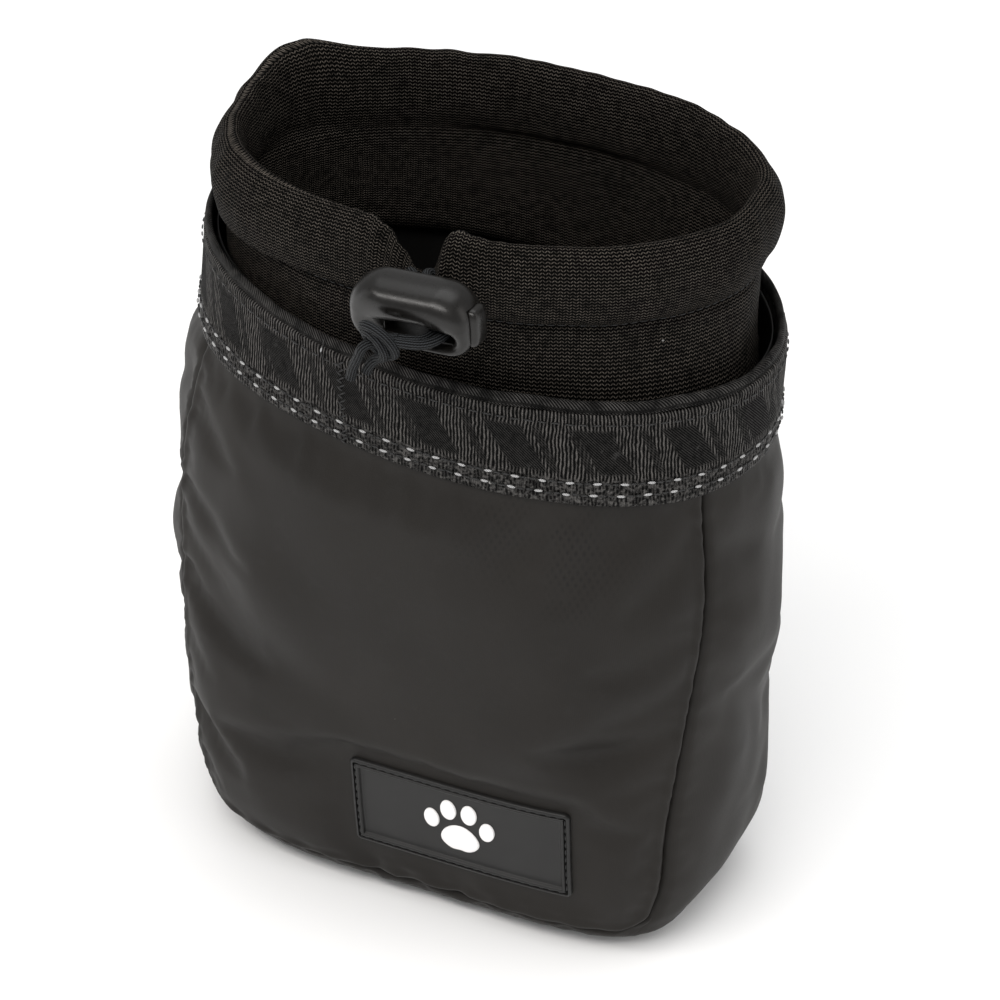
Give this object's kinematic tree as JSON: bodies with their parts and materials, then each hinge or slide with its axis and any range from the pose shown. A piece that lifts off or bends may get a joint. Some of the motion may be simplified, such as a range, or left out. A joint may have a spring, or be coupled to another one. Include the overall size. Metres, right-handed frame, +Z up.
{
  "type": "treat pouch",
  "caption": "Soft drawstring pouch with a knitted mouth sleeve, webbing rim, cord lock, rubber patch, belt loop and spring clip for carrying training treats.",
  "frame": {"origin": "middle of the flat face that the pouch stands on", "axes": "+Z up through the mouth, -Y towards the front panel and cord lock, +Y towards the belt clip"},
  "size_m": [0.155, 0.1464, 0.206],
  "materials": {
    "shell_fabric": "matte coated fabric",
    "lining_fabric": "smooth coated lining",
    "webbing": "ribbed tone-on-tone webbing",
    "knit": "warp knit",
    "cord": "braided elastic",
    "black_thread": "twisted thread",
    "white_thread": "reflective thread",
    "lock_plastic": "satin moulded",
    "spring_steel": "drawn wire",
    "patch_rubber": "matte moulded",
    "emblem_rubber": "matte moulded",
    "clip_steel": "black oxide, satin",
    "rivet_steel": "blackened"
  },
  "bodies": {
    "pouch": {"front_panel": "shell_fabric", "back_panel": "shell_fabric", "gusset": "shell_fabric", "lining": "lining_fabric", "rim_webbing": "webbing", "rim_lip": "lining_fabric", "rim_stitching_lower": "white_thread", "rim_stitching_upper": "black_thread", "mouth_sleeve": "knit", "mouth_hem_rear": "knit", "hem_stitching_rear": "black_thread", "drawcord_rear": "cord", "rubber_patch": "patch_rubber", "patch_emblem": "emblem_rubber", "patch_stitching": "black_thread", "belt_loop": "webbing", "belt_loop_stitching": "black_thread", "clip_base": "clip_steel", "clip_rivets": "rivet_steel"},
    "mouth_front": {"mouth_hem_front": "knit", "hem_stitching_front": "black_thread", "drawcord_front": "cord"},
    "cord_lock": {"cord_lock_body": "lock_plastic", "cord_lock_spring": "spring_steel", "drawcord_strands": "cord"},
    "lock_button": {"cord_lock_plunger": "lock_plastic"},
    "cord_end": {"drawcord_knot": "cord", "drawcord_tails": "cord"},
    "clip_spring": {"clip_tongue": "clip_steel"}
  },
  "joints": [
    {"name": "mouth_cinch", "type": "slide", "parent": "pouch", "child": "mouth_front", "axis": [0, 1, 0], "range_m": [0, 0.025]},
    {"name": "lock_swing", "type": "hinge", "parent": "mouth_front", "child": "cord_lock", "pos_m": [0.008, -0.0485, 0.1955], "axis": [-1, 0, 0], "range_deg": [0, 40], "deforming": ["drawcord_strands"]},
    {"name": "lock_press", "type": "slide", "parent": "cord_lock", "child": "lock_button", "axis": [-0.999, 0, -0.0436], "range_m": [0, 0.003], "stiffness_N_per_m": 1200, "springref_m": -0.002, "deforming": ["cord_lock_spring"]},
    {"name": "cord_pull", "type": "slide", "parent": "cord_lock", "child": "cord_end", "axis": [-0.97, -0.2431, 0], "range_m": [0, 0.02], "deforming": ["drawcord_strands"]},
    {"name": "clip_flex", "type": "hinge", "parent": "pouch", "child": "clip_spring", "pos_m": [0, 0.0643, 0.1234], "axis": [1, 0, 0], "range_deg": [0, 8], "stiffness_Nm_per_rad": 3.5, "springref_deg": -1.72}
  ],
  "couplings": [
    {"joint": "cord_pull", "follows": "mouth_cinch", "ratio": 0.8}
  ]
}
